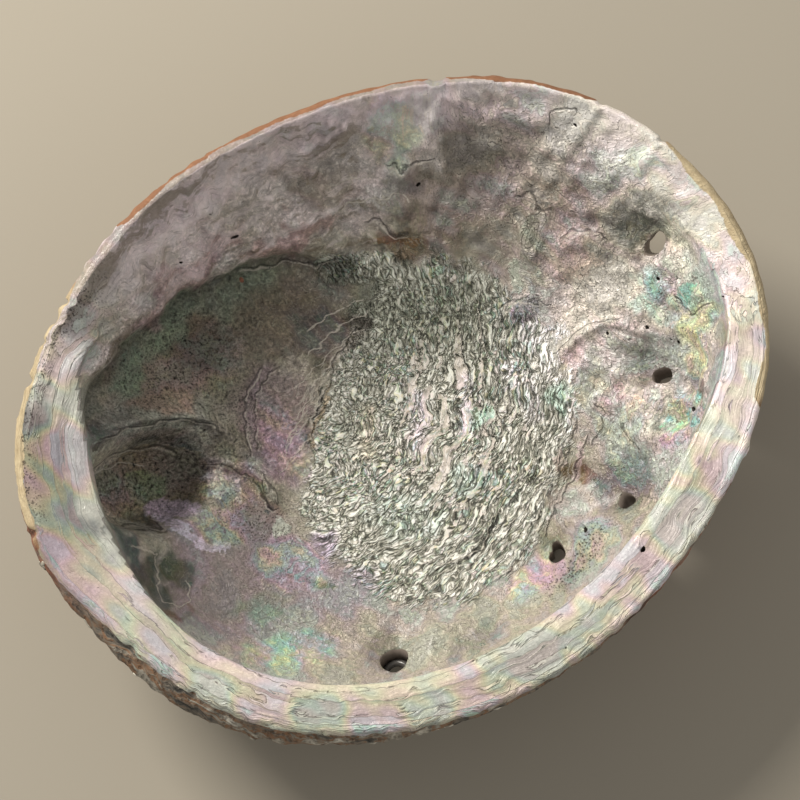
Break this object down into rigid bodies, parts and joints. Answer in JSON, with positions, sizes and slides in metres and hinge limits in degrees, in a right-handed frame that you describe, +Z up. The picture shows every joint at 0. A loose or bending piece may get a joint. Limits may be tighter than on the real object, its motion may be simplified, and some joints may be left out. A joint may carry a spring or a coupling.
{
  "type": "red abalone shell",
  "caption": "Abalone shell lying on its domed back, with an open pearly bowl, an inner shelf, a coil cavity and a row of breathing holes.",
  "frame": {"origin": "middle of the shell's bounding box at its lowest level, on the surface that the shell rests on", "axes": "+X towards the growing edge with the youngest breathing hole, along the shell's length; +Y towards the outer lip, away from the inner shelf; +Z up, out of the open bowl"},
  "size_m": [0.1993, 0.1625, 0.058],
  "materials": {
    "nacre": "satin"
  },
  "bodies": {
    "root": {"abalone_shell": "nacre"}
  },
  "joints": []
}
